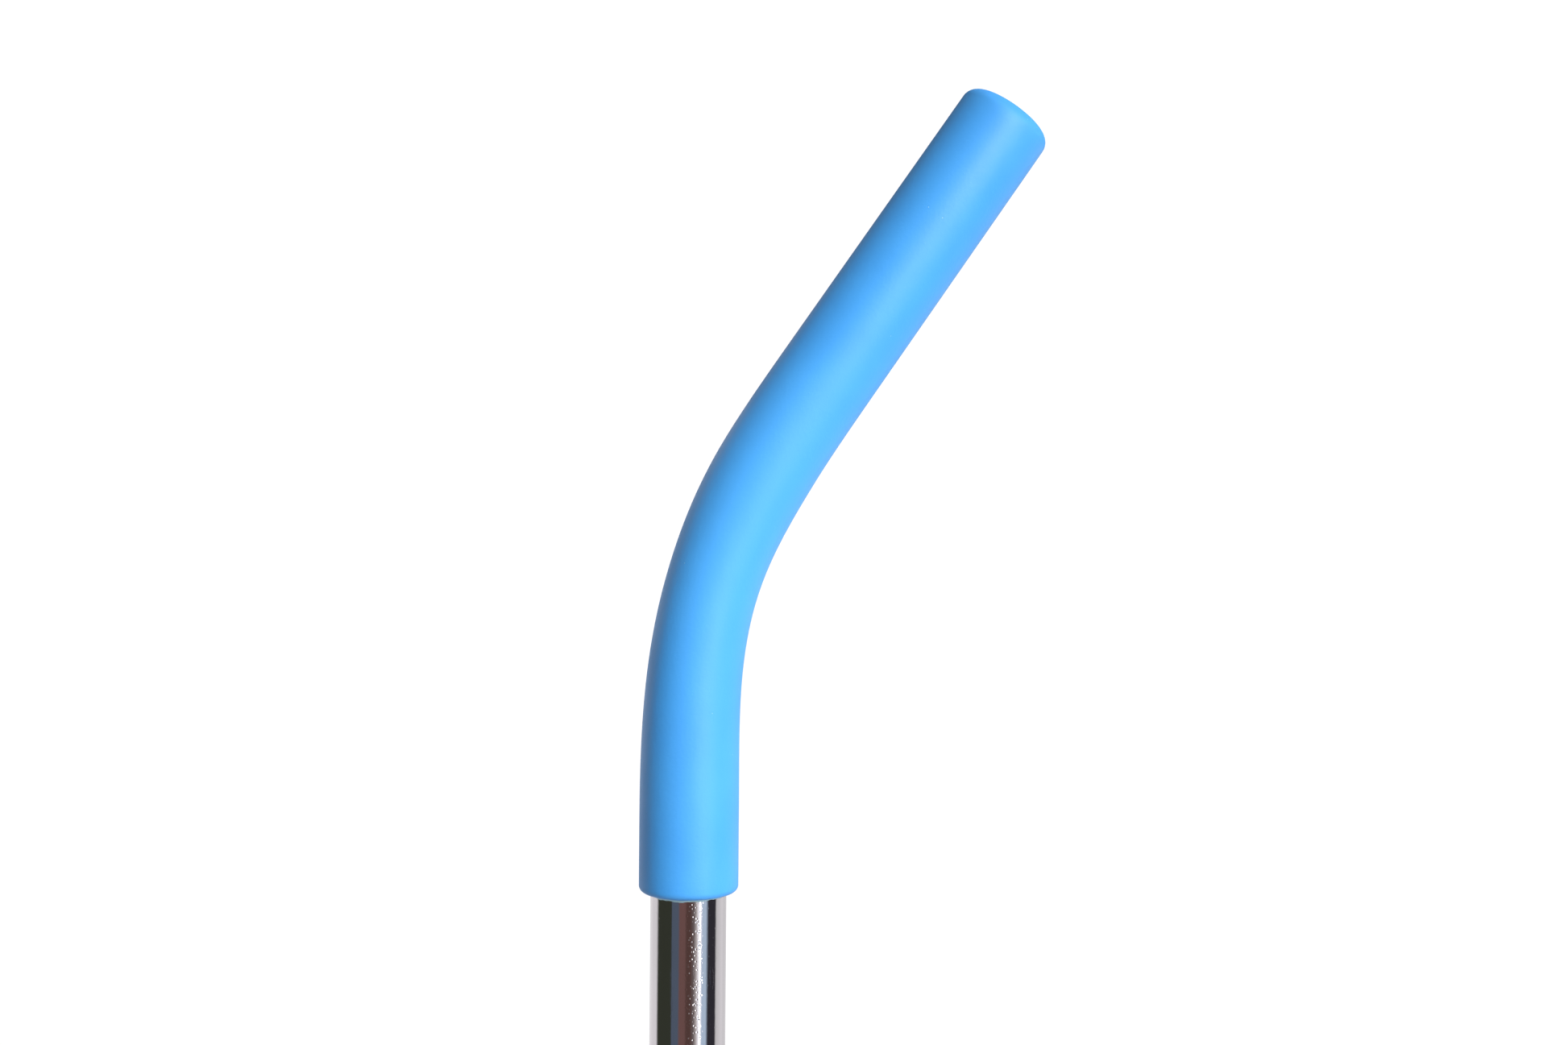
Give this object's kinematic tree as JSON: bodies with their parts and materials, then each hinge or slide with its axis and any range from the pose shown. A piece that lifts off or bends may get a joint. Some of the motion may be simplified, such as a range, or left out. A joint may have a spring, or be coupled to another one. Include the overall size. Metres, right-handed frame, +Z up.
{
  "type": "reusable drinking straw",
  "caption": "Straight polished steel drinking straw with a blue silicone elbow pushed over its upper end, turning the mouth aside.",
  "frame": {"origin": "centre of the steel tube's lower end, which stands on the floor of a glass", "axes": "+Z up along the steel tube towards the tip; +X the way the tip's spout leans; +Y completes the frame, and the part is symmetric about the XZ plane"},
  "size_m": [0.0422, 0.0106, 0.2877],
  "materials": {
    "polished_steel": "mirror-polished stainless steel",
    "blue_silicone": "smooth matt moulded silicone"
  },
  "bodies": {
    "tube": {"steel_tube": "polished_steel"},
    "tip": {"silicone_tip": "blue_silicone"}
  },
  "joints": [
    {"name": "tip_pull_off", "type": "slide", "parent": "tube", "child": "tip", "axis": [0, 0, 1], "range_m": [0, 0.03]}
  ]
}
